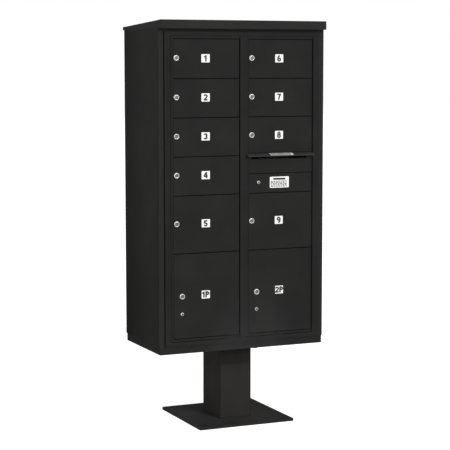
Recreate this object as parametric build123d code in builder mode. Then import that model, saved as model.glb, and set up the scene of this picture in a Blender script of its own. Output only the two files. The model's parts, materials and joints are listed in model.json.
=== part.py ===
from build123d import *
import os

# Cluster mailbox unit: a two-column mailbox module in an enclosure on a pedestal.
#
# The origin is the centre of the base plate's underside. Z is up, X is to the right seen from the
# front, and the front faces -Y. Depths are counted backwards from the enclosure's front flange.

os.makedirs("parts", exist_ok=True)

# ---------------------------------------------------------------- pedestal
base_side = 482.6
base_thickness = 12.7
base_corner_radius = 6.0
anchor_spacing = 406.4
anchor_hole_radius = 8.0
column_width = 160.0
column_depth = 209.6
column_wall = 3.0
column_corner_radius = 4.0
pedestal_height = 355.6
top_plate_width = 254.0
top_plate_depth = 254.0
top_plate_thickness = 9.5
pedestal_bolt_spacing_x = 203.2
pedestal_bolt_spacing_y = 203.2
pedestal_bolt_radius = 6.35
pedestal_bolt_clearance = 0.5
bolt_head_flats_radius = 9.5
bolt_head_height = 8.0
nut_height = 10.0
bolt_end_length = 3.0
nut_clearance = 0.05

# ---------------------------------------------------------------- enclosure
enclosure_width = 838.2
enclosure_depth = 441.3
column_setback = 184.0
enclosure_sheet = 3.0
enclosure_bend_radius = 2.0
flange_step_inset = 13.5
flange_step = 0.8
top_flange_width = 20.0
pan_clearance = 0.3
pan_wall_height = 36.1
pan_overlap = 25.0
header_height = 13.4

# ---------------------------------------------------------------- roof cap
roof_front_overhang = 30.2
roof_back_overhang = 21.5
roof_side_inset = 1.5
roof_front_height = 39.3
roof_back_height = 15.1
roof_sheet = 2.5
roof_edge_radius = 1.6
roof_seat_width = 24.0

# ---------------------------------------------------------------- mailbox module
unit_pitch = 88.9
left_rows = (2, 2, 2, 2, 3, 4.5)
right_rows = (2, 2, 2, 2, 3, 4.5)
module_width = 781.2
module_clearance = 0.5
module_depth = 402.0
frame_top_rail = 18.0
frame_stile = 29.6
frame_proud = 6.0
frame_sheet = 2.0
frame_return_depth = 22.0
row_zero_margin = 28.5
opening_bottom_margin = 9.0
opening_top_margin = 17.05
module_sheet = 1.5
shelf_front_depth = 24.0
shelf_lip = 10.0

mullion_width = 31.8
mullion_proud = 7.5
mullion_depth = 22.0
mullion_end_clearance = 0.2

# ---------------------------------------------------------------- master doors
door_face_proud = 4.0
master_hinge_gap = 1.4
master_free_gap = 1.0
master_bottom_gap = 2.5
master_top_gap = 1.0
master_bar_depth = 14.0
master_lip_thickness = 1.4
lip_overlap = 6.0
lock_lip_overlap = 4.0
hinge_bar_depth = 5.4
transom_height = 18.0
transom_web = 2.0
transom_web_depth = 12.0

hinge_leaf_width = 14.2
hinge_leaf_sheet = 1.5
hinge_side_leaf_sheet = 1.2
hinge_side_leaf_depth = 14.0
hinge_knuckle_radius = 2.8
hinge_pin_radius = 1.2
hinge_running_clearance = 0.05
hinge_knuckle_gap = 0.3
hinge_knuckles = 9
hinge_end_margin = 8.0
hinge_axis_inset = 0.3
hinge_face_clearance = 0.2

# ---------------------------------------------------------------- compartment doors
lock_side_margin = 12.6
hinge_side_margin = 3.4
lock_side_gap = 0.75
end_door_gap = 3.0
row_gap = 3.5
end_door_margin = 7.0
door_depth = 11.0
door_sheet = 1.5
door_front_radius = 0.8
door_hinge_radius = 2.5
rod_radius = 2.0
rod_inset = 4.5
rod_clearance = 0.05

# ---------------------------------------------------------------- outgoing mail compartment
outgoing_row = 3
slot_sill_drop = 18.5
slot_height = 17.0
slot_left_margin = 15.9
slot_right_margin = 30.6
outgoing_plate_height = 66.5
hood_rise = 8.0
hood_reach = 27.0
hood_nose_drop = 9.0
hood_nose_height = 5.0
hood_sheet = 2.0
hood_root_height = 4.0
hood_end_clearance = 1.5
hood_end_overhang = 2.8
door_over_hood_gap = 2.0
plate_return_depth = 12.6

# ---------------------------------------------------------------- locks
lock_inset = 15.2
lock_rise = 5.0
lock_flange_radius = 13.0
lock_flange_thickness = 4.0
lock_body_radius = 9.5
lock_nut_radius = 11.0
lock_nut_thickness = 3.0
plug_radius = 6.2
plug_clearance = 0.05
keyway_width = 1.4
keyway_height = 7.0
keyway_depth = 4.0
cam_length = 25.0
cam_width = 12.0
cam_thickness = 2.0
cam_clearance = 1.0
body_hole_clearance = 0.1

small_flange_radius = 8.0
small_body_radius = 6.5
small_nut_radius = 9.0
small_plug_radius = 4.2

parcel_lock_inset = 41.2
parcel_control_drop = 82.0
parcel_cam_length = 50.0
outgoing_lock_inset = 50.6
outgoing_cam_length = 46.0

master_lock_width = 28.0
master_lock_height = 42.0
master_lock_case_depth = 13.0
master_lock_flange = 10.0
master_lock_rise = 45.0
master_bolt_height = 12.0
master_bolt_depth = 5.0
master_bolt_guide = 9.0
master_bolt_throw = 9.0
master_bolt_clearance = 0.1
master_bolt_hole_margin = 1.0
master_bolt_tip_gap = 1.6

# ---------------------------------------------------------------- derived places
front_y = -column_setback
back_y = front_y + enclosure_depth
cabinet_bottom = pedestal_height
wrap_bottom = cabinet_bottom + pan_wall_height
half_width = enclosure_width / 2
module_half = module_width / 2
module_bottom = wrap_bottom + module_clearance
row_zero = module_bottom + row_zero_margin
total_units = sum(left_rows)
rows_top = row_zero + total_units * unit_pitch
opening_bottom = row_zero - opening_bottom_margin
opening_top = rows_top + opening_top_margin
module_top = opening_top + frame_top_rail
wrap_top = module_top + header_height
wrap_height = wrap_top - wrap_bottom
opening_half = module_half - frame_stile
mullion_half = mullion_width / 2

door_face = -door_face_proud
bar_back = door_face + master_bar_depth
lip_front = bar_back - master_lip_thickness
rod_depth = door_face + rod_inset
cam_front = bar_back + cam_clearance
hinge_axis_x = opening_half + hinge_axis_inset
hinge_axis_depth = -frame_proud - hinge_knuckle_radius - hinge_face_clearance


def facing(depth):
    """The upright plane at this depth behind the front flange, with X to the right and Z up."""
    return Plane(origin=(0, front_y + depth, 0), x_dir=(1, 0, 0), z_dir=(0, -1, 0))


def panel(x_span, other_span, mode=Mode.ADD):
    """A rectangle between two limits each way, in the sketch that is open."""
    with Locations(((x_span[0] + x_span[1]) / 2, (other_span[0] + other_span[1]) / 2)):
        Rectangle(x_span[1] - x_span[0], other_span[1] - other_span[0], mode=mode)


def depth_span(near, far):
    """The Y limits of something that lies between two depths."""
    return (front_y + near, front_y + far)


def keep(part, name):
    """Label a finished piece and write its file."""
    part.label = name
    export_step(part, f"parts/{name}.step")


def group(solids, name):
    """Write several separate solids as one node."""
    keep(Compound(children=list(solids)), name)


# ================================================================ pedestal
with BuildPart() as base_plate:
    with BuildSketch():
        RectangleRounded(base_side, base_side, base_corner_radius)
        with GridLocations(anchor_spacing, anchor_spacing, 2, 2):
            Circle(anchor_hole_radius, mode=Mode.SUBTRACT)
    extrude(amount=base_thickness)
    chamfer(base_plate.faces().sort_by(Axis.Z)[-1].outer_wire().edges(), length=1.0)
keep(base_plate.part, "base_plate")

column_top = pedestal_height - top_plate_thickness
pan_floor = cabinet_bottom + enclosure_sheet
with BuildPart() as pedestal_column:
    with BuildSketch(Plane.XY.offset(base_thickness)):
        RectangleRounded(column_width, column_depth, column_corner_radius)
        RectangleRounded(
            column_width - 2 * column_wall,
            column_depth - 2 * column_wall,
            column_corner_radius - column_wall,
            mode=Mode.SUBTRACT,
        )
    extrude(amount=column_top - base_thickness)
    with BuildSketch(Plane.XY.offset(column_top)):
        RectangleRounded(top_plate_width, top_plate_depth, base_corner_radius)
        with GridLocations(pedestal_bolt_spacing_x, pedestal_bolt_spacing_y, 2, 2):
            Circle(pedestal_bolt_radius + pedestal_bolt_clearance, mode=Mode.SUBTRACT)
    extrude(amount=top_plate_thickness)
keep(pedestal_column.part, "pedestal_column")


def pedestal_bolt(x, y):
    """A hex bolt from below, up through the pedestal's top plate and the bottom pan."""
    with BuildPart() as bolt:
        with BuildSketch(Plane.XY.offset(column_top - bolt_head_height)):
            with Locations((x, y)):
                RegularPolygon(bolt_head_flats_radius, 6, major_radius=False)
        extrude(amount=bolt_head_height)
        with BuildSketch(Plane.XY.offset(column_top)):
            with Locations((x, y)):
                Circle(pedestal_bolt_radius)
        extrude(amount=pan_floor + nut_height + bolt_end_length - column_top)
    return bolt.part.solids()[0]


def pedestal_nut(x, y):
    """The nut on the floor of the bottom pan."""
    with BuildPart() as nut:
        with BuildSketch(Plane.XY.offset(pan_floor)):
            with Locations((x, y)):
                RegularPolygon(bolt_head_flats_radius, 6, major_radius=False)
                Circle(pedestal_bolt_radius + nut_clearance, mode=Mode.SUBTRACT)
        extrude(amount=nut_height)
    return nut.part.solids()[0]


bolt_places = [
    (sx * pedestal_bolt_spacing_x / 2, sy * pedestal_bolt_spacing_y / 2)
    for sx in (-1, 1)
    for sy in (-1, 1)
]
pedestal_fasteners = [pedestal_bolt(x, y) for x, y in bolt_places]
pedestal_fasteners += [pedestal_nut(x, y) for x, y in bolt_places]
group(pedestal_fasteners, "pedestal_bolts")

# ================================================================ enclosure
flange_inner = module_half + module_clearance
flange_step_x = half_width - flange_step_inset
wrap_back_span = depth_span(0, enclosure_depth)
with BuildPart() as enclosure_wrap:
    # Two sides and the back, bent from one sheet, with stepped return flanges at the front.
    with BuildSketch(Plane.XY.offset(wrap_bottom)):
        panel((-half_width, half_width), wrap_back_span)
        panel(
            (-half_width + enclosure_sheet, half_width - enclosure_sheet),
            depth_span(enclosure_sheet + flange_step, enclosure_depth - enclosure_sheet),
            mode=Mode.SUBTRACT,
        )
        panel((-flange_step_x, flange_step_x), depth_span(0, flange_step), mode=Mode.SUBTRACT)
        panel(
            (-flange_inner, flange_inner),
            depth_span(0, enclosure_sheet + flange_step),
            mode=Mode.SUBTRACT,
        )
    extrude(amount=wrap_height)
    # The header over the module and the inward flange that the roof cap is screwed to.
    with BuildSketch(facing(flange_step)):
        panel((-flange_inner, flange_inner), (module_top + module_clearance, wrap_top))
    extrude(amount=-enclosure_sheet)
    with BuildSketch(Plane.XY.offset(wrap_top - enclosure_sheet)):
        panel(
            (-half_width + enclosure_sheet, half_width - enclosure_sheet),
            depth_span(enclosure_sheet + flange_step, enclosure_depth - enclosure_sheet),
        )
        panel(
            (
                -half_width + enclosure_sheet + top_flange_width,
                half_width - enclosure_sheet - top_flange_width,
            ),
            depth_span(
                enclosure_sheet + top_flange_width,
                enclosure_depth - enclosure_sheet - top_flange_width,
            ),
            mode=Mode.SUBTRACT,
        )
    extrude(amount=enclosure_sheet)
    upright_corners = enclosure_wrap.edges().filter_by(Axis.Z).filter_by(
        lambda edge: abs(abs(edge.center().X) - half_width) < 0.01 and edge.length > wrap_height / 2
    )
    fillet(upright_corners, radius=enclosure_bend_radius)
keep(enclosure_wrap.part, "enclosure_wrap")

pan_half = half_width - enclosure_sheet - pan_clearance
pan_back = enclosure_depth - enclosure_sheet - pan_clearance
with BuildPart() as enclosure_bottom_pan:
    # A tray whose sides and back slip up inside the wrap; its front wall stays below the module.
    with BuildSketch(Plane.XY.offset(cabinet_bottom)):
        panel((-pan_half, pan_half), depth_span(flange_step, pan_back))
    extrude(amount=pan_wall_height + pan_overlap)
    with BuildSketch(Plane.XY.offset(cabinet_bottom + enclosure_sheet)):
        panel(
            (-pan_half + enclosure_sheet, pan_half - enclosure_sheet),
            depth_span(flange_step + enclosure_sheet, pan_back - enclosure_sheet),
        )
    extrude(amount=pan_wall_height + pan_overlap, mode=Mode.SUBTRACT)
    with BuildSketch(Plane.XY.offset(wrap_bottom)):
        panel((-pan_half, pan_half), depth_span(0, 2 * enclosure_sheet + flange_step))
    extrude(amount=pan_overlap, mode=Mode.SUBTRACT)
    with BuildSketch(Plane.XY.offset(cabinet_bottom)):
        with GridLocations(pedestal_bolt_spacing_x, pedestal_bolt_spacing_y, 2, 2):
            Circle(pedestal_bolt_radius + pedestal_bolt_clearance)
    extrude(amount=enclosure_sheet, mode=Mode.SUBTRACT)
    fillet(
        enclosure_bottom_pan.edges().filter_by(Axis.Z).filter_by(
            lambda edge: abs(abs(edge.center().X) - pan_half) < 0.01
        ),
        radius=enclosure_bend_radius,
    )
keep(enclosure_bottom_pan.part, "enclosure_bottom_pan")

# ================================================================ roof cap
roof_front = front_y - roof_front_overhang
roof_back = back_y + roof_back_overhang
roof_half = half_width - roof_side_inset
roof_slope = (roof_front_height - roof_back_height) / (roof_back - roof_front)
with BuildPart() as roof_cap:
    # A hollow wedge that sheds water to the back, with a soffit that seats on the top flange.
    with BuildSketch(Plane.YZ):
        with BuildLine():
            Polyline(
                (roof_front, wrap_top),
                (roof_back, wrap_top),
                (roof_back, wrap_top + roof_back_height),
                (roof_front, wrap_top + roof_front_height),
                close=True,
            )
        make_face()
    extrude(amount=roof_half, both=True)
    upper_edges = roof_cap.edges().filter_by(lambda edge: edge.center().Z > wrap_top + 1)
    fillet(upper_edges, radius=roof_edge_radius)
    with BuildSketch(Plane.YZ):
        with BuildLine():
            Polyline(
                (roof_front + roof_sheet, wrap_top + roof_sheet),
                (roof_back - roof_sheet, wrap_top + roof_sheet),
                (
                    roof_back - roof_sheet,
                    wrap_top + roof_back_height - roof_sheet + roof_slope * roof_sheet,
                ),
                (
                    roof_front + roof_sheet,
                    wrap_top + roof_front_height - roof_sheet - roof_slope * roof_sheet,
                ),
                close=True,
            )
        make_face()
    extrude(amount=roof_half - roof_sheet, both=True, mode=Mode.SUBTRACT)
    with BuildSketch(Plane.XY.offset(wrap_top)):
        panel(
            (-half_width + roof_seat_width, half_width - roof_seat_width),
            (front_y + roof_seat_width, back_y - roof_seat_width),
        )
    extrude(amount=roof_sheet, mode=Mode.SUBTRACT)
keep(roof_cap.part, "roof_cap")

# ================================================================ module frame and box
frame_z = (module_bottom, module_top)
with BuildPart() as module_frame:
    # A picture frame of channel section: face, outer return and inner return.
    with BuildSketch(facing(-frame_proud)):
        panel((-module_half, module_half), frame_z)
        panel((-opening_half, opening_half), (opening_bottom, opening_top), mode=Mode.SUBTRACT)
    extrude(amount=-frame_sheet)
    with BuildSketch(facing(-frame_proud + frame_sheet)):
        panel((-module_half, module_half), frame_z)
        panel(
            (-module_half + frame_sheet, module_half - frame_sheet),
            (module_bottom + frame_sheet, module_top - frame_sheet),
            mode=Mode.SUBTRACT,
        )
        panel(
            (-opening_half - frame_sheet, opening_half + frame_sheet),
            (opening_bottom - frame_sheet, opening_top + frame_sheet),
        )
        panel((-opening_half, opening_half), (opening_bottom, opening_top), mode=Mode.SUBTRACT)
    extrude(amount=-(frame_return_depth - frame_sheet))
keep(module_frame.part, "module_frame")

outgoing_bottom_row = row_zero + (total_units - sum(right_rows[: outgoing_row + 1])) * unit_pitch
outgoing_top_row = row_zero + (total_units - sum(right_rows[:outgoing_row])) * unit_pitch
master_lock_z = outgoing_bottom_row + master_lock_rise
master_bolt_depth_mid = bar_back + 2 * frame_sheet + master_bolt_depth / 2

with BuildPart() as mullion:
    # The fixed centre post, a channel open at the back, with the hole for the master lock's bolt.
    with BuildSketch(Plane.XY.offset(opening_bottom + mullion_end_clearance)):
        panel((-mullion_half, mullion_half), depth_span(-mullion_proud, mullion_depth))
        panel(
            (-mullion_half + frame_sheet, mullion_half - frame_sheet),
            depth_span(-mullion_proud + frame_sheet, mullion_depth),
            mode=Mode.SUBTRACT,
        )
    extrude(amount=opening_top - opening_bottom - 2 * mullion_end_clearance)
    with BuildSketch(Plane.YZ):
        with Locations((front_y + master_bolt_depth_mid, master_lock_z)):
            Rectangle(
                master_bolt_depth + 2 * master_bolt_hole_margin,
                master_bolt_height + 2 * master_bolt_hole_margin,
            )
    extrude(amount=mullion_half + frame_sheet, mode=Mode.SUBTRACT)
keep(mullion.part, "mullion")

box_inner = opening_half + frame_sheet
box_bottom = opening_bottom - frame_sheet
box_top = opening_top + frame_sheet
box_near = -frame_proud + 2 * frame_sheet
box_far = module_depth - module_sheet


def sheet(x_span, near, far, z_span):
    """A flat sheet between two depths."""
    with BuildPart() as flat:
        with BuildSketch(Plane.XY.offset(z_span[0])):
            panel(x_span, depth_span(near, far))
        extrude(amount=z_span[1] - z_span[0])
    return flat.part.solids()[0]


# The box's two sides, which lap the frame's inner return, and its back between them.
box_z = (box_bottom - module_sheet, box_top + module_sheet)
group(
    (
        sheet((-box_inner - module_sheet, -box_inner), box_near, module_depth, box_z),
        sheet((box_inner, box_inner + module_sheet), box_near, module_depth, box_z),
        sheet((-box_inner, box_inner), box_far, module_depth, box_z),
    ),
    "module_wrap",
)
# Its top and bottom.
group(
    (
        sheet((-box_inner, box_inner), box_near, box_far, (box_bottom - module_sheet, box_bottom)),
        sheet((-box_inner, box_inner), box_near, box_far, (box_top, box_top + module_sheet)),
    ),
    "module_end_plates",
)

partition_half = module_sheet / 2
partition_near = mullion_depth + hinge_knuckle_gap
keep(
    sheet((-partition_half, partition_half), partition_near, box_far, (box_bottom, box_top)),
    "center_partition",
)


def row_lines(rows):
    """Heights of the lines between the rows of a column, from the top down."""
    lines = []
    units_left = total_units
    for units in rows[:-1]:
        units_left -= units
        lines.append(row_zero + units_left * unit_pitch)
    return lines


def shelf(x_span, z):
    """A compartment floor with a stiffening lip turned down along its front edge."""
    with BuildPart() as floor:
        with BuildSketch(Plane.YZ.offset(x_span[0])):
            near = front_y + shelf_front_depth
            far = front_y + box_far
            with BuildLine():
                Polyline(
                    (near, z + module_sheet / 2),
                    (far, z + module_sheet / 2),
                    (far, z - module_sheet / 2),
                    (near + module_sheet, z - module_sheet / 2),
                    (near + module_sheet, z - shelf_lip),
                    (near, z - shelf_lip),
                    close=True,
                )
            make_face()
        extrude(amount=x_span[1] - x_span[0])
    return floor.part.solids()[0]


shelves = [shelf((-box_inner, -partition_half), z) for z in row_lines(left_rows)]
shelves += [shelf((partition_half, box_inner), z) for z in row_lines(right_rows)]
group(shelves, "shelves")

# ================================================================ continuous hinges of the master doors
hinge_bottom = opening_bottom + hinge_end_margin
hinge_length = opening_top - opening_bottom - 2 * hinge_end_margin
knuckle_pitch = hinge_length / hinge_knuckles


def knuckle_span(number):
    """The heights between which one knuckle lies, less its half of the gap at each end."""
    low = hinge_bottom + number * knuckle_pitch + hinge_knuckle_gap / 2
    return (low, low + knuckle_pitch - hinge_knuckle_gap)


def fixed_hinge(side):
    """The leaf on the frame's face with its knuckles and the pin; side is -1 left, 1 right."""
    axis_x = side * hinge_axis_x
    leaf_far = side * (opening_half + hinge_leaf_width)
    leaf_near = side * (hinge_axis_x + hinge_knuckle_radius + hinge_knuckle_gap)
    leaf_depths = (-frame_proud - hinge_leaf_sheet, -frame_proud)
    with BuildPart() as hinge:
        with BuildSketch(Plane.XY.offset(hinge_bottom)):
            panel(sorted((leaf_near, leaf_far)), depth_span(*leaf_depths))
            with Locations((axis_x, front_y + hinge_axis_depth)):
                Circle(hinge_pin_radius)
        extrude(amount=hinge_length)
        for number in range(0, hinge_knuckles, 2):
            low, high = knuckle_span(number)
            with BuildSketch(Plane.XY.offset(low)):
                panel(sorted((axis_x, leaf_near)), depth_span(*leaf_depths))
                with Locations((axis_x, front_y + hinge_axis_depth)):
                    Circle(hinge_knuckle_radius)
            extrude(amount=high - low)
    return hinge.part.solids()[0]


def moving_hinge(side):
    """The leaf on the edge of the master door with its knuckles, bored for the pin."""
    axis_x = side * hinge_axis_x
    outer_x = side * (opening_half - master_hinge_gap + hinge_side_leaf_sheet)
    inner_x = side * (opening_half - master_hinge_gap)
    leaf_near = hinge_axis_depth + hinge_knuckle_radius + hinge_knuckle_gap
    with BuildPart() as hinge:
        with BuildSketch(Plane.XY.offset(hinge_bottom)):
            panel(sorted((inner_x, outer_x)), depth_span(leaf_near, hinge_side_leaf_depth))
        extrude(amount=hinge_length)
        for number in range(1, hinge_knuckles, 2):
            low, high = knuckle_span(number)
            with BuildSketch(Plane.XY.offset(low)):
                panel(sorted((inner_x, outer_x)), depth_span(hinge_axis_depth, leaf_near))
                with Locations((axis_x, front_y + hinge_axis_depth)):
                    Circle(hinge_knuckle_radius)
                    Circle(hinge_pin_radius + hinge_running_clearance, mode=Mode.SUBTRACT)
            extrude(amount=high - low)
    return hinge.part.solids()[0]


group((fixed_hinge(-1), fixed_hinge(1)), "master_hinge_fixed")
keep(moving_hinge(-1), "master_hinge_left")
keep(moving_hinge(1), "master_hinge_right")

# ================================================================ columns
master_outer = opening_half - master_hinge_gap
master_inner = mullion_half + master_free_gap


def column_limits(side):
    """The master door's edges and the compartment doors' edges of one column."""
    if side < 0:
        edges = (-master_outer, -master_inner)
        doors = (-opening_half + lock_side_margin, -mullion_half - hinge_side_margin)
    else:
        edges = (master_inner, master_outer)
        doors = (mullion_half + lock_side_margin, opening_half - hinge_side_margin)
    return edges, doors


def door_spans(rows):
    """The lower and upper edge of each door in a column, from the top down."""
    lines = [rows_top] + row_lines(rows) + [row_zero]
    spans = []
    for high, low in zip(lines, lines[1:]):
        top = high - row_gap / 2
        bottom = low + row_gap / 2
        if high == rows_top:
            top = rows_top + opening_top_margin - opening_bottom_margin - end_door_margin
        if low == row_zero:
            bottom = row_zero + end_door_margin
        spans.append((bottom, top))
    return spans


left_doors = door_spans(left_rows)
right_doors = door_spans(right_rows)

# The outgoing mail compartment: slot and plate above, access door below, hood over the slot.
slot_bottom = outgoing_top_row - slot_sill_drop
slot_top = slot_bottom + slot_height
hood_top = outgoing_top_row + hood_rise
plate_bottom = slot_bottom - outgoing_plate_height
outgoing_span = (outgoing_bottom_row + row_gap / 2, plate_bottom - row_gap + door_sheet / 2)
right_doors[outgoing_row] = outgoing_span
right_doors[outgoing_row - 1] = (hood_top + door_over_hood_gap, right_doors[outgoing_row - 1][1])


def rebated_bar(bar_span, lip_span, z_span):
    """The upright bar on the lock side, with the lip that the doors close on."""
    with BuildPart() as bar:
        with BuildSketch(Plane.XY.offset(z_span[0])):
            panel(bar_span, depth_span(door_face, bar_back))
            panel(lip_span, depth_span(lip_front, bar_back))
        extrude(amount=z_span[1] - z_span[0])
    return bar.part.solids()[0]


def hinge_bar(x_span, z_span):
    """The upright that closes the master door's frame behind the hinged edges of the doors."""
    with BuildPart() as bar:
        with BuildSketch(Plane.XY.offset(z_span[0])):
            panel(x_span, depth_span(lip_front, lip_front + hinge_bar_depth))
        extrude(amount=z_span[1] - z_span[0])
    return bar.part.solids()[0]


def cross_rail(x_span, lip_x_span, bar_z, lip_z):
    """The top or bottom rail of the master door, with its lip behind the end door."""
    with BuildPart() as rail:
        with BuildSketch(facing(door_face)):
            panel(x_span, bar_z)
        extrude(amount=-(lip_front - door_face))
        with BuildSketch(facing(lip_front)):
            panel(lip_x_span, (min(bar_z[0], lip_z[0]), max(bar_z[1], lip_z[1])))
        extrude(amount=-master_lip_thickness)
    return rail.part.solids()[0]


def transom(x_span, z):
    """The bar behind the gap between two doors: a flange that they close on, and a web."""
    with BuildPart() as bar:
        with BuildSketch(Plane.YZ.offset(x_span[0])):
            panel(
                depth_span(lip_front, bar_back), (z - transom_height / 2, z + transom_height / 2)
            )
            panel(
                depth_span(bar_back, bar_back + transom_web_depth),
                (z - transom_web / 2, z + transom_web / 2),
            )
        extrude(amount=x_span[1] - x_span[0])
    return bar.part.solids()[0]


def master_frame(side, lines):
    """The open frame of one master door: two uprights, top and bottom rails, and transoms."""
    edges, doors = column_limits(side)
    ends = (opening_bottom + master_bottom_gap, opening_top - master_top_gap)
    lock_bar = (edges[0], doors[0] - lock_side_gap)
    lock_lip = (lock_bar[1], doors[0] + lock_lip_overlap)
    between = (lock_bar[1], edges[1])
    clear = (lock_lip[1], doors[1] - lip_overlap)
    low_end = row_zero + end_door_margin
    high_end = left_doors[0][1]
    bottom_rail = (ends[0], low_end - end_door_gap)
    top_rail = (high_end + end_door_gap, ends[1])
    solids = [
        rebated_bar(lock_bar, lock_lip, ends),
        hinge_bar((clear[1], edges[1]), ends),
        cross_rail(between, clear, bottom_rail, (ends[0], low_end + lip_overlap)),
        cross_rail(between, clear, top_rail, (high_end - lip_overlap, ends[1])),
    ]
    solids += [transom(clear, z) for z in lines]
    return solids


right_lines = row_lines(right_rows)
right_lines[outgoing_row - 1] = hood_top + door_over_hood_gap / 2
right_lines.insert(outgoing_row, plate_bottom - row_gap / 2)
group(master_frame(-1, row_lines(left_rows)), "master_frame_left")
group(master_frame(1, right_lines), "master_frame_right")


def door_rod(side):
    """The long rod that the compartment doors of one column turn on."""
    rod_x = column_limits(side)[1][1] - rod_inset
    with BuildPart() as rod:
        with BuildSketch(Plane.XY.offset(row_zero + end_door_margin - end_door_gap)):
            with Locations((rod_x, front_y + rod_depth)):
                Circle(rod_radius)
        extrude(amount=left_doors[0][1] - row_zero - end_door_margin + 2 * end_door_gap)
    return rod.part.solids()[0]


keep(door_rod(-1), "door_rod_left")
keep(door_rod(1), "door_rod_right")


# ================================================================ compartment doors and their locks
def compartment_door(x_span, z_span, lock_places):
    """A door pan: a face with returns all round, bored for its rod and its locks."""
    with BuildPart() as door:
        with BuildSketch(facing(door_face)):
            panel(x_span, z_span)
        extrude(amount=-door_depth)
        hinge_edge = door.edges().filter_by(Axis.Z).sort_by(Axis.X)[-2:].sort_by(Axis.Y)[0]
        fillet(hinge_edge, radius=door_hinge_radius)
        front_edges = door.faces().sort_by(Axis.Y)[0].edges().sort_by(Axis.X)[:-1]
        chamfer(front_edges, length=door_front_radius)
        with BuildSketch(facing(door_face + door_sheet)):
            panel(
                (x_span[0] + door_sheet, x_span[1] - door_sheet),
                (z_span[0] + door_sheet, z_span[1] - door_sheet),
            )
        extrude(amount=-(door_depth - door_sheet), mode=Mode.SUBTRACT)
        with BuildSketch(Plane.XY.offset(z_span[0])):
            with Locations((x_span[1] - rod_inset, front_y + rod_depth)):
                Circle(rod_radius + rod_clearance)
        extrude(amount=z_span[1] - z_span[0], mode=Mode.SUBTRACT)
        with BuildSketch(facing(door_face)):
            for x, z, body_radius in lock_places:
                with Locations((x, z)):
                    Circle(body_radius + body_hole_clearance)
        extrude(amount=-door_sheet, mode=Mode.SUBTRACT)
    return door.part.solids()[0]


def lock_housing(x, z, flange_radius, body_radius, nut_radius, bore_radius):
    """A lock's fixed shell: the flange on the door's face, the barrel and its clamp nut."""
    with BuildPart() as housing:
        with BuildSketch(facing(door_face - lock_flange_thickness)):
            with Locations((x, z)):
                Circle(flange_radius)
        extrude(amount=-lock_flange_thickness)
        chamfer(housing.faces().sort_by(Axis.Y)[0].edges(), length=lock_flange_thickness / 3)
        with BuildSketch(facing(door_face)):
            with Locations((x, z)):
                Circle(body_radius)
        extrude(amount=-(bar_back - door_face))
        with BuildSketch(facing(door_face + door_sheet)):
            with Locations((x, z)):
                RegularPolygon(nut_radius, 6, major_radius=False)
        extrude(amount=-lock_nut_thickness)
        with BuildSketch(facing(door_face - lock_flange_thickness)):
            with Locations((x, z)):
                Circle(bore_radius)
        extrude(amount=-(lock_flange_thickness + bar_back - door_face), mode=Mode.SUBTRACT)
    return housing.part.solids()[0]


def lock_plug(x, z, radius, reach, to_side):
    """The turning plug with its keyway, and the cam on its inner end."""
    with BuildPart() as plug:
        with BuildSketch(facing(door_face - lock_flange_thickness)):
            with Locations((x, z)):
                Circle(radius)
        extrude(amount=-(lock_flange_thickness + cam_front - door_face))
        with BuildSketch(facing(cam_front)):
            with Locations((x, z)):
                Circle(cam_width / 2)
            middle = (x + reach / 2, z) if to_side else (x, z - reach / 2)
            with Locations(middle):
                if to_side:
                    Rectangle(reach, cam_width)
                else:
                    Rectangle(cam_width, reach)
        extrude(amount=-cam_thickness)
        with BuildSketch(facing(door_face - lock_flange_thickness)):
            with Locations((x, z)):
                Rectangle(keyway_width, min(keyway_height, 1.4 * radius))
        extrude(amount=-keyway_depth, mode=Mode.SUBTRACT)
    return plug.part.solids()[0]


main_lock = (lock_flange_radius, lock_body_radius, lock_nut_radius)
small_lock = (small_flange_radius, small_body_radius, small_nut_radius)


def make_door(door_name, lock_name, x_span, z_span, locks):
    """Write one door, its lock housings and its plugs.

    Each lock is (plug name, x, z, shell radii, plug radius, cam length, cam to the side).
    """
    keep(compartment_door(x_span, z_span, [(x, z, radii[1]) for _, x, z, radii, *_ in locks]), door_name)
    shells = [
        lock_housing(x, z, *radii, radius + plug_clearance) for _, x, z, radii, radius, _, _ in locks
    ]
    group(shells, lock_name)
    for plug_name, x, z, _, radius, reach, to_side in locks:
        keep(lock_plug(x, z, radius, reach, to_side), plug_name)


def tenant_lock(number, doors, lock_z):
    """The one lock of a letter door."""
    return (f"plug_{number}", doors[0] + lock_inset, lock_z, main_lock, plug_radius, cam_length, False)


def parcel_locks(number, doors, z_span):
    """A parcel door's main lock and the control lock below it."""
    x = doors[0] + parcel_lock_inset
    z = (z_span[0] + z_span[1]) / 2
    return [
        (f"parcel_plug_{number}", x, z, main_lock, plug_radius, parcel_cam_length, False),
        (
            f"control_plug_{number}",
            x,
            z - parcel_control_drop,
            small_lock,
            small_plug_radius,
            parcel_cam_length,
            False,
        ),
    ]


def row_middles(rows):
    """The middle height of each row of a column, from the top down."""
    lines = [rows_top] + row_lines(rows) + [row_zero]
    return [(high + low) / 2 for high, low in zip(lines, lines[1:])]


def column_of_doors(side, rows, spans, first_number, parcel_number, plain_rows):
    """Every door of a column, from the top: letter doors, then the parcel door at the bottom."""
    doors = column_limits(side)[1]
    number = first_number
    for row, span in enumerate(spans):
        if row == len(rows) - 1:
            locks = parcel_locks(parcel_number, doors, span)
            make_door(f"parcel_door_{parcel_number}", f"parcel_locks_{parcel_number}", doors, span, locks)
        elif row in plain_rows:
            lock_x = doors[0] + outgoing_lock_inset
            lock_z = (span[0] + span[1]) / 2 + lock_rise
            lock = (
                "outgoing_plug",
                lock_x,
                lock_z,
                small_lock,
                small_plug_radius,
                outgoing_cam_length,
                True,
            )
            make_door("outgoing_door", "outgoing_lock", doors, span, [lock])
        else:
            lock_z = row_middles(rows)[row] + lock_rise
            lock = tenant_lock(number, doors, lock_z)
            make_door(f"door_{number}", f"lock_{number}", doors, span, [lock])
            number += 1


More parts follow.
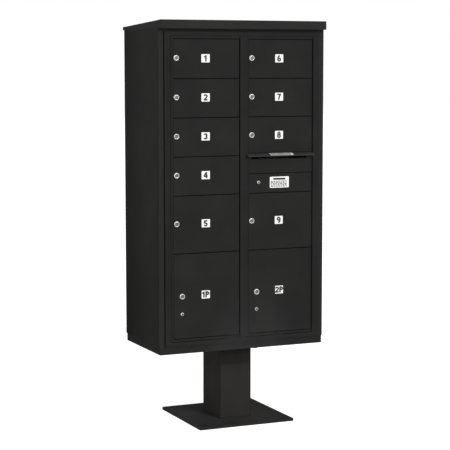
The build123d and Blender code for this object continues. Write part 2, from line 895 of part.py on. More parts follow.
column_of_doors(-1, left_rows, left_doors, 1, 1, ())
column_of_doors(1, right_rows, right_doors, 6, 2, (outgoing_row,))

# ================================================================ outgoing plate and hood
right_edges, right_limits = column_limits(1)
with BuildPart() as outgoing_plate:
    # One formed sheet: the slotted plate with its returns, and the rain hood over the slot.
    with BuildSketch(facing(door_face)):
        panel(right_limits, (plate_bottom, hood_top))
        panel(
            (right_limits[0] + slot_left_margin, right_limits[1] - slot_right_margin),
            (slot_bottom, slot_top),
            mode=Mode.SUBTRACT,
        )
    extrude(amount=-door_sheet)
    with BuildSketch(Plane.XY.offset(plate_bottom)):
        panel(right_limits, depth_span(door_face + door_sheet, door_face + plate_return_depth))
        panel(
            (right_limits[0] + door_sheet, right_limits[1] - door_sheet),
            depth_span(door_face + door_sheet, door_face + plate_return_depth),
            mode=Mode.SUBTRACT,
        )
    extrude(amount=hood_top - plate_bottom)
    hood_left = right_edges[0] + hood_end_clearance
    hood_right = right_edges[1] - hood_end_clearance
    nose_y = front_y + door_face - hood_reach
    root_y = front_y + door_face
    with BuildSketch(Plane.YZ.offset(hood_left - hood_end_overhang)):
        with BuildLine():
            Polyline(
                (root_y, hood_top),
                (nose_y, hood_top - hood_nose_drop),
                (nose_y, hood_top - hood_nose_drop - hood_nose_height),
                (nose_y + hood_sheet, hood_top - hood_nose_drop - hood_nose_height),
                (nose_y + hood_sheet, hood_top - hood_nose_drop - hood_sheet / 2),
                (root_y, hood_top - hood_root_height),
                close=True,
            )
        make_face()
    extrude(amount=hood_right - hood_left + 2 * hood_end_overhang)
    # Near its root each end is notched to pass the hinge knuckles and the mullion.
    notch_depth = hinge_axis_depth - hinge_knuckle_radius - hinge_knuckle_gap
    with BuildSketch(Plane.XY.offset(hood_top - hood_nose_drop - hood_nose_height)):
        panel((hood_left - hood_end_overhang, hood_left), depth_span(notch_depth, door_face))
        panel((hood_right, hood_right + hood_end_overhang), depth_span(notch_depth, door_face))
    extrude(amount=hood_nose_drop + hood_nose_height, mode=Mode.SUBTRACT)
keep(outgoing_plate.part, "outgoing_plate")

# ================================================================ master lock
case_left = master_inner + master_lock_flange
case_z = (master_lock_z - master_lock_height / 2, master_lock_z + master_lock_height / 2)
bolt_tip = mullion_half + master_bolt_tip_gap
case_near = bar_back + frame_sheet
with BuildPart() as master_lock_case:
    # A closed case on a mounting plate, with the way that the bolt slides in.
    with BuildSketch(facing(bar_back)):
        panel((master_inner + lip_overlap / 4, case_left + master_lock_width), case_z)
    extrude(amount=-frame_sheet)
    with BuildSketch(facing(case_near)):
        panel((case_left, case_left + master_lock_width), case_z)
    extrude(amount=-master_lock_case_depth)
    with BuildSketch(Plane.YZ.offset(case_left)):
        with Locations((front_y + master_bolt_depth_mid, master_lock_z)):
            Rectangle(
                master_bolt_depth + 2 * master_bolt_clearance,
                master_bolt_height + 2 * master_bolt_clearance,
            )
    extrude(amount=master_lock_width - frame_sheet, mode=Mode.SUBTRACT)
keep(master_lock_case.part, "master_lock_case")

with BuildPart() as master_lock_bolt:
    with BuildSketch(Plane.YZ.offset(bolt_tip)):
        with Locations((front_y + master_bolt_depth_mid, master_lock_z)):
            Rectangle(master_bolt_depth, master_bolt_height)
    extrude(amount=case_left - bolt_tip + master_bolt_throw + master_bolt_guide)
    tip_edges = master_lock_bolt.faces().sort_by(Axis.X)[0].edges().filter_by(Axis.Z)
    chamfer(tip_edges, length=master_bolt_depth / 5)
keep(master_lock_bolt.part, "master_lock_bolt")
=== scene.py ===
import json
import math

import bmesh
import bpy
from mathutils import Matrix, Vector


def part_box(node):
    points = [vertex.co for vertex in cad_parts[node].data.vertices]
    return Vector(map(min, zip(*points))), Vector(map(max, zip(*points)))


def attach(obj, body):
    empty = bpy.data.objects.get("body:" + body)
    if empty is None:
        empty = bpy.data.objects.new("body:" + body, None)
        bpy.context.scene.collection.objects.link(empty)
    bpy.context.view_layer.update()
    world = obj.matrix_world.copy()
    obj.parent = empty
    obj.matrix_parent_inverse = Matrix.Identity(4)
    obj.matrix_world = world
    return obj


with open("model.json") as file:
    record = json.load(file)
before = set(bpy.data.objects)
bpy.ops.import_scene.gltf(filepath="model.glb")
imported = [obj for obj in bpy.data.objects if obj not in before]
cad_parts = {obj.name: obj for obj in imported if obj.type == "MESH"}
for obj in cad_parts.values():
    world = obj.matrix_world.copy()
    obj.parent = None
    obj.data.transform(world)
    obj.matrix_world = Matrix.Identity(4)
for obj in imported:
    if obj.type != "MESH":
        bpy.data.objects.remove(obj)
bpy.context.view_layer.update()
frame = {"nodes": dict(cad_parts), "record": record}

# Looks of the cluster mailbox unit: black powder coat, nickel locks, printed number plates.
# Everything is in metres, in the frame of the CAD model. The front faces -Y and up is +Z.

NODES = frame["nodes"]
BODY_OF = {
    node: body
    for body, members in frame["record"]["behaviour"]["bodies"].items()
    for node in members
}
MM = 0.001
Y_AXIS, Z_AXIS = 1, 2


# ---------------------------------------------------------------- node helpers
def new_material(name):
    """A material with a bare Principled shader: the material, its node tree and the shader."""
    material = bpy.data.materials.new(name)
    material.use_nodes = True
    tree = material.node_tree
    tree.nodes.clear()
    output = tree.nodes.new("ShaderNodeOutputMaterial")
    shader = tree.nodes.new("ShaderNodeBsdfPrincipled")
    tree.links.new(shader.outputs["BSDF"], output.inputs["Surface"])
    return material, tree, shader


def object_coords(tree, scale=(1, 1, 1)):
    """Coordinates in metres on the object, stretched by scale."""
    coords = tree.nodes.new("ShaderNodeTexCoord")
    mapping = tree.nodes.new("ShaderNodeMapping")
    mapping.inputs["Scale"].default_value = scale
    tree.links.new(coords.outputs["Object"], mapping.inputs["Vector"])
    return mapping.outputs["Vector"]


def noise(tree, vector, scale, detail=2.0, roughness=0.5):
    """A noise value from 0 to 1."""
    node = tree.nodes.new("ShaderNodeTexNoise")
    node.inputs["Scale"].default_value = scale
    node.inputs["Detail"].default_value = detail
    node.inputs["Roughness"].default_value = roughness
    tree.links.new(vector, node.inputs["Vector"])
    return node.outputs["Fac"]


def remap(tree, value, low, high, to_low, to_high):
    """The value taken from low..high to to_low..to_high, clamped; low may be above high."""
    node = tree.nodes.new("ShaderNodeMapRange")
    for socket, number in zip(node.inputs[1:5], (low, high, to_low, to_high)):
        socket.default_value = number
    tree.links.new(value, node.inputs["Value"])
    return node.outputs["Result"]


def colour_ramp(tree, value, *stops):
    """A colour from stops of (place, colour)."""
    node = tree.nodes.new("ShaderNodeValToRGB")
    elements = node.color_ramp.elements
    while len(elements) < len(stops):
        elements.new(0.5)
    for element, (place, colour) in zip(elements, stops):
        element.position = place
        element.color = (*colour, 1)
    tree.links.new(value, node.inputs["Fac"])
    return node.outputs["Color"]


def bump(tree, height, strength, distance, normal=None):
    """A bump on the surface normal."""
    node = tree.nodes.new("ShaderNodeBump")
    node.inputs["Strength"].default_value = strength
    node.inputs["Distance"].default_value = distance
    tree.links.new(height, node.inputs["Height"])
    if normal is not None:
        tree.links.new(normal, node.inputs["Normal"])
    return node.outputs["Normal"]


# ---------------------------------------------------------------- materials
CLOUD_SCALE = 5.0
CLOUD_DARK = 0.86
CLOUD_PALE = (1.17, 1.13, 1.12)
GRAIN_SCALE = 900.0
SPECK_SCALE = 2600.0
SPECK_GAIN = 2.2
PEEL_SCALE = 260.0
STAIN_SCALE = 18.0
STAIN_DARK = 0.90
MOTTLE_SCALE = 140.0
MATT_SCALE = 1500.0


def toned(colour, gain):
    """A colour with each channel multiplied by gain."""
    return tuple(channel * gain for channel in colour)


def powder_coat(name, tone, roughness, specular, peel=1.0, painted_light_tones=(), painted_shading_gains=()):
    """Satin black powder coat: fine orange peel, faint cloudiness and tiny pale specks of dust.

    Each (axis, low, high, gain) multiplies the tone by gain: fully beyond high on that axis,
    and not before low. All of these bands are painted light and shade: the bands that scale the
    colour fade in on top of the clouds, and the bands that set a colour take their place."""
    material, tree, shader = new_material(name)
    coords = object_coords(tree)
    clouds = noise(tree, coords, CLOUD_SCALE, 4.0, 0.55)
    grain = noise(tree, coords, GRAIN_SCALE, 2.0, 0.6)
    pale = tuple(channel * warmth for channel, warmth in zip(tone, CLOUD_PALE))
    base = colour_ramp(tree, clouds, (0.3, toned(tone, CLOUD_DARK)), (0.7, pale))
    specks = remap(tree, noise(tree, coords, SPECK_SCALE, 1.0), 0.78, 0.84, 0.0, 0.35)
    mix = tree.nodes.new("ShaderNodeMix")
    mix.data_type = "RGBA"
    tree.links.new(specks, mix.inputs["Factor"])
    tree.links.new(base, mix.inputs["A"])
    mix.inputs["B"].default_value = (*toned(tone, SPECK_GAIN), 1)
    colour = mix.outputs["Result"]
    # Painted shading scales the colour, and painted light sets a tone of its own in its place.
    coats = [(*band, "MULTIPLY", (1, 1, 1)) for band in painted_shading_gains]
    coats += [(*band, "MIX", tone) for band in painted_light_tones]
    for axis, low, high, gain, blend, under in coats:
        split = tree.nodes.new("ShaderNodeSeparateXYZ")
        tree.links.new(coords, split.inputs["Vector"])
        share = remap(tree, split.outputs[axis], low, high, 0.0, 1.0)
        painted_mix = tree.nodes.new("ShaderNodeMix")
        painted_mix.data_type = "RGBA"
        painted_mix.blend_type = blend
        tree.links.new(share, painted_mix.inputs["Factor"])
        tree.links.new(colour, painted_mix.inputs["A"])
        painted_mix.inputs["B"].default_value = (*toned(under, gain), 1)
        colour = painted_mix.outputs["Result"]
    tree.links.new(colour, shader.inputs["Base Color"])
    rough = remap(tree, grain, 0.3, 0.7, roughness - 0.04, roughness + 0.05)
    tree.links.new(rough, shader.inputs["Roughness"])
    shader.inputs["Specular IOR Level"].default_value = specular
    waves = bump(tree, noise(tree, coords, PEEL_SCALE, 1.0), 0.10 * peel, 0.0006)
    tree.links.new(bump(tree, grain, 0.12 * peel, 0.0002, waves), shader.inputs["Normal"])
    return material


def metal(name, tone, roughness, grain_scale, stretch, bump_strength):
    """Metal with a directional grain, slight stains and a roughness that varies along it."""
    material, tree, shader = new_material(name)
    coords = object_coords(tree, stretch)
    grain = noise(tree, coords, grain_scale, 3.0, 0.6)
    stains = noise(tree, object_coords(tree), STAIN_SCALE, 3.0, 0.5)
    colour = colour_ramp(tree, stains, (0.35, toned(tone, STAIN_DARK)), (0.6, tone))
    tree.links.new(colour, shader.inputs["Base Color"])
    shader.inputs["Metallic"].default_value = 1.0
    rough = remap(tree, grain, 0.3, 0.7, roughness - 0.06, roughness + 0.08)
    tree.links.new(rough, shader.inputs["Roughness"])
    tree.links.new(bump(tree, grain, bump_strength, 0.0002), shader.inputs["Normal"])
    return material


def printed(name, dark, pale, roughness, specular):
    """Printed or moulded plastic with a faint mottle and a very fine matt grain."""
    material, tree, shader = new_material(name)
    coords = object_coords(tree)
    mottle = noise(tree, coords, MOTTLE_SCALE, 3.0, 0.6)
    colour = colour_ramp(tree, mottle, (0.3, dark), (0.7, pale))
    tree.links.new(colour, shader.inputs["Base Color"])
    rough = remap(tree, mottle, 0.3, 0.7, roughness - 0.05, roughness + 0.05)
    tree.links.new(rough, shader.inputs["Roughness"])
    shader.inputs["Specular IOR Level"].default_value = specular
    matt = bump(tree, noise(tree, coords, MATT_SCALE), 0.08, 0.0001)
    tree.links.new(matt, shader.inputs["Normal"])
    return material


# Bands of painted light and shade in a coat, each (axis, low, high, gain), with the places in
# metres.
# Painted light: the hood's upward slope, above this height, is twice as pale as its coat.
HOOD_TOP_PAINTED_LIGHT_BAND = (Z_AXIS, 1.2585, 1.2600, 2.0)
# Painted light and shade on the enclosure's front: the bend from side to front is held at one tone,
# and the front flange and header are twice as pale as its base tone.
SIDE_BEND_PAINTED_LIGHT_BAND = (Y_AXIS, -0.1700, -0.1710, 1.15)
FRONT_FLANGE_PAINTED_LIGHT_BAND = (Y_AXIS, -0.1795, -0.1815, 2.0)
# Painted shade on the enclosure's sides: paler towards the front, darker towards the back and the
# bottom; its back face is made paler as painted light.
SIDE_PAINTED_SHADE_TO_BACK_BAND = (Y_AXIS, 0.21, 0.01, 1.66)
SIDE_PAINTED_SHADE_LOW_BANDS = ((Z_AXIS, 1.3, 0.5, 0.93), (Z_AXIS, 0.85, 0.45, 0.62))
WRAP_BACK_PAINTED_LIGHT_BAND = (Y_AXIS, 0.2560, 0.2570, 1.5)
# Painted shade on the bottom pan behind its front face, and painted light lifting its back face
# again.
PAN_SIDE_PAINTED_SHADE_BAND = (Y_AXIS, -0.1780, -0.1760, 0.64)
PAN_BACK_PAINTED_LIGHT_BAND = (Y_AXIS, 0.2525, 0.2535, 1.45)

DOOR_TONE = (0.0182, 0.0182, 0.0180)
# The enclosure's base tone is darker than the doors' as painted shade; its bands lift it at the
# front.
WRAP_PAINTED_SHADE_TONE = (0.0111, 0.0111, 0.0109)
# Painted light: the roof is given a paler tone than the doors' same coat, for the brighter light on
# its fascia.
ROOF_PAINTED_LIGHT_TONE = (0.0222, 0.0222, 0.0220)
COLUMN_TONE = (0.0172, 0.0163, 0.0159)
WELD_TONE = (0.0130, 0.0128, 0.0126)
BASE_TONE = (0.0210, 0.0206, 0.0202)
SATIN = {"roughness": 0.62, "specular": 0.02}

black = powder_coat("black_powder_coat", DOOR_TONE, **SATIN)
# The hood's coat, with painted light on its slope.
hood_black = powder_coat("hood_black_coat", DOOR_TONE, **SATIN, painted_light_tones=[HOOD_TOP_PAINTED_LIGHT_BAND])
# The enclosure's coat, with painted light and shade on its front, sides and back.
wrap_black = powder_coat(
    "enclosure_black_coat",
    WRAP_PAINTED_SHADE_TONE,
    **SATIN,
    painted_light_tones=[SIDE_BEND_PAINTED_LIGHT_BAND, FRONT_FLANGE_PAINTED_LIGHT_BAND],
    painted_shading_gains=[SIDE_PAINTED_SHADE_TO_BACK_BAND, *SIDE_PAINTED_SHADE_LOW_BANDS, WRAP_BACK_PAINTED_LIGHT_BAND],
)
# The bottom pan's coat, with painted shade on its sides and underside, lifted again at its back.
pan_black = powder_coat(
    "pan_black_coat", DOOR_TONE, **SATIN, painted_shading_gains=[PAN_SIDE_PAINTED_SHADE_BAND, PAN_BACK_PAINTED_LIGHT_BAND]
)
roof_black = powder_coat("roof_black_coat", ROOF_PAINTED_LIGHT_TONE, roughness=0.60, specular=0.02)
column_black = powder_coat(
    "column_black_coat", COLUMN_TONE, roughness=0.66, specular=0.012, peel=1.2
)
weld_black = powder_coat("weld_black_coat", WELD_TONE, roughness=0.70, specular=0.01, peel=1.5)
base_black = powder_coat("base_black_coat", BASE_TONE, roughness=0.72, specular=0.010, peel=1.3)

ALL_WAYS = (1, 1, 1)
UPRIGHT = (1, 1, 0.04)
nickel = metal("satin_nickel", (0.78, 0.76, 0.72), 0.30, 700.0, ALL_WAYS, 0.05)
plug_metal = metal("lock_plug_dark_nickel", (0.16, 0.155, 0.148), 0.36, 700.0, ALL_WAYS, 0.05)
zinc = metal("zinc_plated_steel", (0.62, 0.62, 0.63), 0.38, 300.0, ALL_WAYS, 0.10)
aluminium = metal("mill_aluminium", (0.70, 0.71, 0.72), 0.42, 220.0, UPRIGHT, 0.08)
plate_white = printed("plate_white", (0.78, 0.78, 0.77), (0.84, 0.84, 0.83), 0.45, 0.4)
plate_ink = printed("plate_ink", (0.012, 0.012, 0.013), (0.022, 0.022, 0.024), 0.5, 0.3)
# Near-black for the strips of painted shade in the gaps beside the module's frame.
gap_painted_shade = printed("gap_painted_shade", (0.003, 0.003, 0.003), (0.005, 0.005, 0.005), 0.7, 0.05)
# Darker metal for the well inside each lock's bezel: painted shade and dark reflection there.
well_painted_shade_metal = metal("lock_well_painted_shade", (0.07, 0.068, 0.066), 0.42, 700.0, ALL_WAYS, 0.05)

OTHER_NODES = {
    "outgoing_plate": hood_black,
    "enclosure_wrap": wrap_black,
    "enclosure_bottom_pan": pan_black,
    "roof_cap": roof_black,
    "pedestal_column": column_black,
    "base_plate": base_black,
    "module_wrap": aluminium,
    "module_end_plates": aluminium,
    "center_partition": aluminium,
    "shelves": aluminium,
    "master_lock_case": zinc,
    "master_lock_bolt": zinc,
}


def finish_of(node):
    """The material that a CAD node shows."""
    if "plug" in node:
        return plug_metal
    if node.startswith("lock_") or node.startswith("parcel_locks") or node == "outgoing_lock":
        return nickel
    return OTHER_NODES.get(node, black)


for node, solid in NODES.items():
    solid.data.materials.clear()
    solid.data.materials.append(finish_of(node))


# ---------------------------------------------------------------- pieces of the visual model
PRINT_DEPTH = 0.12 * MM
PRINT_SINK = 0.02 * MM


def mesh_piece(name, build, material, body):
    """A new piece from a bmesh that build fills in, riding on a body."""
    bm = bmesh.new()
    build(bm)
    bmesh.ops.recalc_face_normals(bm, faces=bm.faces)
    mesh = bpy.data.meshes.new(name)
    bm.to_mesh(mesh)
    bm.free()
    mesh.materials.append(material)
    piece = bpy.data.objects.new(name, mesh)
    bpy.context.scene.collection.objects.link(piece)
    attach(piece, body)
    return piece


def rounded_outline(width, height, radius, steps=6):
    """Points round a rectangle with rounded corners, centred on zero."""
    points = []
    corners = ((1, 1, 0), (-1, 1, 90), (-1, -1, 180), (1, -1, 270))
    for side_x, side_z, start in corners:
        middle = (side_x * (width / 2 - radius), side_z * (height / 2 - radius))
        for step in range(steps + 1):
            angle = math.radians(start + 90 * step / steps)
            points.append(
                (middle[0] + radius * math.cos(angle), middle[1] + radius * math.sin(angle))
            )
    return points


def add_slab(bm, rings):
    """Closed slab from rings of points, the first and the last of them capped."""
    loops = [[bm.verts.new(point) for point in ring] for ring in rings]
    count = len(loops[0])
    for low, high in zip(loops, loops[1:]):
        for i in range(count):
            bm.faces.new((low[i], low[(i + 1) % count], high[(i + 1) % count], high[i]))
    bm.faces.new(loops[0])
    bm.faces.new(loops[-1])


EDGE_SOFTNESS = 0.45
EDGE_BEVEL = 0.3


def plate_rings(x, z, back_y, width, height, radius, thickness):
    """Rings of an upright plate with a softened front edge, lying on a surface at back_y."""
    soft = thickness * EDGE_SOFTNESS
    bevel = soft * EDGE_BEVEL
    layers = ((0.0, 0.0), (0.0, thickness - soft), (bevel, thickness - bevel), (soft, thickness))
    return [
        [
            (x + px, back_y - proud, z + pz)
            for px, pz in rounded_outline(width - 2 * inset, height - 2 * inset, radius - inset)
        ]
        for inset, proud in layers
    ]


def annulus_rings(x, z, profile, steps=48):
    """Rings round an axis along Y, one for each (radius, y) of a profile."""
    turns = [2 * math.pi * step / steps for step in range(steps)]
    return [
        [(x + radius * math.cos(turn), y, z + radius * math.sin(turn)) for turn in turns]
        for radius, y in profile
    ]


def add_ring(bm, rings):
    """Closed solid whose rings of points are joined in turn, and the last to the first."""
    loops = [[bm.verts.new(point) for point in ring] for ring in rings]
    count = len(loops[0])
    for low, high in zip(loops, loops[1:] + loops[:1]):
        for i in range(count):
            bm.faces.new((low[i], low[(i + 1) % count], high[(i + 1) % count], high[i]))


def smooth(piece, degrees):
    """Shade smooth, with edges sharper than this many degrees left crisp."""
    limit = math.radians(degrees)
    mesh = piece.data
    bm = bmesh.new()
    bm.from_mesh(mesh)
    for face in bm.faces:
        face.smooth = True
    for edge in bm.edges:
        edge.smooth = len(edge.link_faces) == 2 and edge.calc_face_angle() < limit
    bm.to_mesh(mesh)
    bm.free()


# ---------------------------------------------------------------- numbers on their plates
ARC_STEP = 12


def arc(middle, radii, start, end):
    """Points along an elliptic arc, its angles in degrees from the right, counter-clockwise."""
    steps = max(4, round(abs(end - start) / ARC_STEP))
    turns = [math.radians(start + (end - start) * i / steps) for i in range(steps + 1)]
    return [(middle[0] + radii[0] * math.cos(t), middle[1] + radii[1] * math.sin(t)) for t in turns]


# The strokes of each character as centre lines, in shares of its height, the left foot at zero.
STROKE = 0.24
EDGE = STROKE / 2
STROKES = {
    "1": [[(0.27, 0), (0.27, 1)], [(0.30, 0.90), (0, 0.68)]],
    "2": [
        arc((0.31, 0.69), (0.21, 0.21), 175, -38) + [(0.10, EDGE)],
        [(0, EDGE), (0.61, EDGE)],
    ],
    "3": [arc((0.29, 0.70), (0.20, 0.18), 170, -90), arc((0.29, 0.30), (0.22, 0.18), 90, -170)],
    "4": [[(0.43, 0), (0.43, 1)], [(0.41, 0.93), (0.05, 0.36)], [(0, 0.30), (0.64, 0.30)]],
    "5": [
        [(0.12, 1 - EDGE), (0.57, 1 - EDGE)],
        [(0.17, 1), (0.12, 0.45)],
        arc((0.30, 0.32), (0.21, 0.22), 145, -165),
    ],
    "6": [arc((0.31, 0.31), (0.21, 0.21), 0, 360), arc((0.37, 0.38), (0.27, 0.52), 185, 82)],
    "7": [[(0, 1 - EDGE), (0.60, 1 - EDGE)], [(0.52, 0.88), (0.30, 0.45), (0.22, 0)]],
    "8": [arc((0.31, 0.71), (0.175, 0.19), 0, 360), arc((0.31, 0.31), (0.21, 0.21), 0, 360)],
    "9": [arc((0.31, 0.69), (0.21, 0.21), 0, 360), arc((0.25, 0.62), (0.27, 0.52), 5, -98)],
    "P": [
        [(EDGE, 0), (EDGE, 1)],
        [(EDGE, 1 - EDGE), (0.32, 1 - EDGE)]
        + arc((0.32, 0.69), (0.20, 1 - EDGE - 0.69), 90, -90)
        + [(EDGE, 0.69 * 2 - 1 + EDGE)],
    ],
}


# The least cosine at a corner of a stroke, which keeps its mitre short.
SHARPEST_MITRE = 0.6


def ribbon(path, half, place):
    """Rings of a flat strip along a path, its corners mitred.

    The function place turns a flat point into a front and a back one."""
    rings = []
    points = [Vector(point) for point in path]
    for i, point in enumerate(points):
        before = point - points[i - 1] if i else points[1] - point
        after = points[i + 1] - point if i + 1 < len(points) else before
        before, after = before.normalized(), after.normalized()
        along = (before + after).normalized()
        reach = half / max(SHARPEST_MITRE, along.dot(after))
        side = Vector((-along.y, along.x)) * reach
        left_front, left_back = place(point + side)
        right_front, right_back = place(point - side)
        rings.append([left_front, right_front, right_back, left_back])
    return rings


PLATE_THICKNESS = 0.8 * MM
PLATE_SIZE = (41.5 * MM, 37.5 * MM)
PLATE_CORNER = 2.5 * MM
LEFT_PLATE_FROM_LOCK = 144.3 * MM
RIGHT_PLATE_FROM_LOCK = 140.5 * MM
PARCEL_PLATE_FROM_LOCK = 117.5 * MM
PLATE_DROP = 1.5 * MM
PARCEL_PLATE_RISE = 3 * MM
DIGIT_HEIGHT = 28.5 * MM
DIGIT_STRETCH = 1.10
GLYPH_GAP = 2.5 * MM
# The characters whose rightmost point is the butt of a level stroke.
BUTT_ENDED = "247"
# How far the axis of a plug lies below its highest point, or right of its leftmost one.
MAIN_PLUG_RIM = 6.2 * MM
SMALL_PLUG_RIM = 6.0 * MM


def glyph_width(character):
    """A character's width, with half a stroke beyond its last centre line where there is one."""
    reach = max(x for stroke in STROKES[character] for x, _ in stroke)
    edge = 0 if character in BUTT_ENDED else EDGE
    return (reach + edge) * DIGIT_HEIGHT * DIGIT_STRETCH


def number_piece(name, label, middle, body):
    """The characters of a label in one piece, printed a hair proud of its plate."""
    widths = [glyph_width(character) for character in label]
    start = -(sum(widths) + GLYPH_GAP * (len(label) - 1)) / 2

    def build(bm):
        left = middle[0] + start
        for character, width in zip(label, widths):
            for order, stroke in enumerate(STROKES[character]):
                front = middle[1] - PRINT_DEPTH / 2 - order * PRINT_SINK / 2

                def place(point):
                    x = left + point.x * DIGIT_HEIGHT * DIGIT_STRETCH
                    z = middle[2] + (point.y - 0.5) * DIGIT_HEIGHT
                    return (x, front, z), (x, front + PRINT_DEPTH, z)

                add_slab(bm, ribbon(stroke, EDGE, place))
            left += width + GLYPH_GAP

    mesh_piece(name, build, plate_ink, body)


def lock_centre(plug):
    """Where the axis of a plug crosses its face; the cam hangs below it or to one side."""
    low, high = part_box(plug)
    if plug.startswith("outgoing"):
        return (low.x + SMALL_PLUG_RIM, low.y, (low.z + high.z) / 2)
    rim = SMALL_PLUG_RIM if plug.startswith("control") else MAIN_PLUG_RIM
    return ((low.x + high.x) / 2, low.y, high.z - rim)


def number_plate(label, door, plug, from_lock, rise):
    """A white plate with the compartment's number, to the right of the door's lock."""
    door_low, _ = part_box(door)
    lock_x, _, lock_z = lock_centre(plug)
    x, z = lock_x + from_lock, lock_z + rise
    width, height = PLATE_SIZE
    rings = plate_rings(x, z, door_low.y, width, height, PLATE_CORNER, PLATE_THICKNESS)
    body = BODY_OF[door]
    name = "number_plate_" + label
    mesh_piece(name, lambda bm: add_slab(bm, rings), plate_white, body)
    front = door_low.y - PLATE_THICKNESS - PRINT_DEPTH / 2 + PRINT_SINK
    number_piece("number_" + label, label, (x, front, z), body)


for number in range(1, 10):
    from_lock = LEFT_PLATE_FROM_LOCK if number < 6 else RIGHT_PLATE_FROM_LOCK
    number_plate(str(number), f"door_{number}", f"plug_{number}", from_lock, -PLATE_DROP)
for number in (1, 2):
    door, plug = f"parcel_door_{number}", f"parcel_plug_{number}"
    number_plate(f"{number}P", door, plug, PARCEL_PLATE_FROM_LOCK, PARCEL_PLATE_RISE)


# ---------------------------------------------------------------- lock faces
# The radii of a lock's rim, of the well inside its bezel and of the bore round its plug.
MAIN_LOCK = (11.6 * MM, 9.0 * MM, 6.4 * MM)
SMALL_LOCK = (6.7 * MM, 5.4 * MM, 4.4 * MM)
WELL_PROUD = 0.25 * MM
KEYWAY_HALF = 0.13
KEYWAY_REACH = 0.62


def lock_face(name, plug, body, radii):
    """A rolled bezel near the flange's rim, the well inside it painted darker as shade and dark
    reflection, and the plug's keyway.
    """
    x, y, z = lock_centre(plug)
    rim, well, bore = radii
    bezel = (
        (well, y),
        (well + 0.15 * MM, y - 0.55 * MM),
        (well + 0.7 * MM, y - 0.95 * MM),
        (rim - 0.9 * MM, y - 1.0 * MM),
        (rim - 0.25 * MM, y - 0.6 * MM),
        (rim, y),
    )
    ring = mesh_piece(
        "lock_bezel_" + name,
        lambda bm: add_ring(bm, annulus_rings(x, z, bezel)),
        nickel,
        body,
    )
    smooth(ring, 60)
    well_floor = (
        (bore, y),
        (bore + 0.3 * MM, y - WELL_PROUD),
        (well - 0.1 * MM, y - WELL_PROUD),
        (well - 0.1 * MM, y),
    )
    well_ring = mesh_piece(
        "lock_well_" + name,
        lambda bm: add_ring(bm, annulus_rings(x, z, well_floor)),
        well_painted_shade_metal,
        body,
    )
    smooth(well_ring, 35)
    half, tall = KEYWAY_HALF * bore, KEYWAY_REACH * bore
    outline = (
        (-half, -tall),
        (half, -tall),
        (half, -0.2 * tall),
        (2.2 * half, 0.1 * tall),
        (half, 0.4 * tall),
        (half, tall),
        (-half, tall),
    )
    mesh_piece(
        "keyway_" + name,
        lambda bm: add_slab(
            bm, [[(x + px, depth, z + pz) for px, pz in outline] for depth in (y, y - PRINT_DEPTH)]
        ),
        plate_ink,
        BODY_OF[plug],
    )


for number in range(1, 10):
    lock_face(str(number), f"plug_{number}", f"door_{number}", MAIN_LOCK)
for number in (1, 2):
    body = f"parcel_door_{number}"
    lock_face(f"{number}P", f"parcel_plug_{number}", body, MAIN_LOCK)
    lock_face(f"control_{number}", f"control_plug_{number}", body, SMALL_LOCK)
lock_face("outgoing", "outgoing_plug", "outgoing_door", SMALL_LOCK)


# ---------------------------------------------------------------- card, hood label and baffle
CARD_SIZE = (99 * MM, 52 * MM)
CARD_THICKNESS = 0.6 * MM
CARD_CORNER = 3.5 * MM
CARD_FROM_LOCK = 108 * MM
CARD_RISE = 2.8 * MM
CARD_MARGIN = 5 * MM
TITLE_X = (-32 * MM, 30 * MM)
TITLE_Z = (11 * MM, 20 * MM)
CARD_LINES = 5
LINE_TOP = 3 * MM
LINE_PITCH = 6 * MM
LINE_HEIGHT = 3.6 * MM
WORDS = 9


def word_spans(left, limit, lengths, gap):
    """Left and right ends of word-like bars, for the lengths that end before the limit."""
    spans = []
    for length in lengths:
        if left + length < limit:
            spans.append((left, left + length))
        left += length + gap
    return spans


def bars(name, spans, y, body):
    """Thin printed bars, each (left, right, bottom, top), in one piece."""

    def build(bm):
        for left, right, bottom, top in spans:
            outline = ((left, bottom), (right, bottom), (right, top), (left, top))
            depths = (y, y - PRINT_DEPTH)
            add_slab(bm, [[(px, depth, pz) for px, pz in outline] for depth in depths])

    mesh_piece(name, build, plate_ink, body)


outgoing_low, outgoing_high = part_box("outgoing_door")
card_x = lock_centre("outgoing_plug")[0] + CARD_FROM_LOCK
card_z = (outgoing_low.z + outgoing_high.z) / 2 + CARD_RISE
card_rings = plate_rings(card_x, card_z, outgoing_low.y, *CARD_SIZE, CARD_CORNER, CARD_THICKNESS)
mesh_piece(
    "access_card", lambda bm: add_slab(bm, card_rings), plate_white, "outgoing_door"
)
half_line = CARD_SIZE[0] / 2 - CARD_MARGIN
ruled = [(card_x + TITLE_X[0], card_x + TITLE_X[1], card_z + TITLE_Z[0], card_z + TITLE_Z[1])]
for line in range(CARD_LINES):
    bottom = card_z + LINE_TOP - LINE_PITCH * line
    lengths = [(9 + 4 * math.sin(2.7 * word + 1.9 * line)) * MM for word in range(WORDS)]
    words = word_spans(card_x - half_line, card_x + half_line, lengths, 3.2 * MM)
    ruled += [(left, right, bottom, bottom + LINE_HEIGHT) for left, right in words]
card_face = outgoing_low.y - CARD_THICKNESS + PRINT_SINK
bars("access_card_lines", ruled, card_face, "outgoing_door")

# The label on the hood's slope, from near its root to its nose.
plate_low, plate_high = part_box("outgoing_plate")
HOOD_REACH = 27 * MM
HOOD_DROP = 9 * MM
STRIP_X = (132 * MM, 250.5 * MM)
STRIP_SHARE = (0.12, 1.0)
STRIP_THICKNESS = 0.5 * MM
STRIP_ROWS = ((0.20, 0.38), (0.46, 0.66), (0.74, 0.93))
STRIP_MARGINS = (3 * MM, 4 * MM)
hood_root = Vector((0, plate_low.y + HOOD_REACH, plate_high.z))
hood_slope = Vector((0, -HOOD_REACH, -HOOD_DROP))
hood_up = Vector((0, -HOOD_DROP, HOOD_REACH)).normalized()


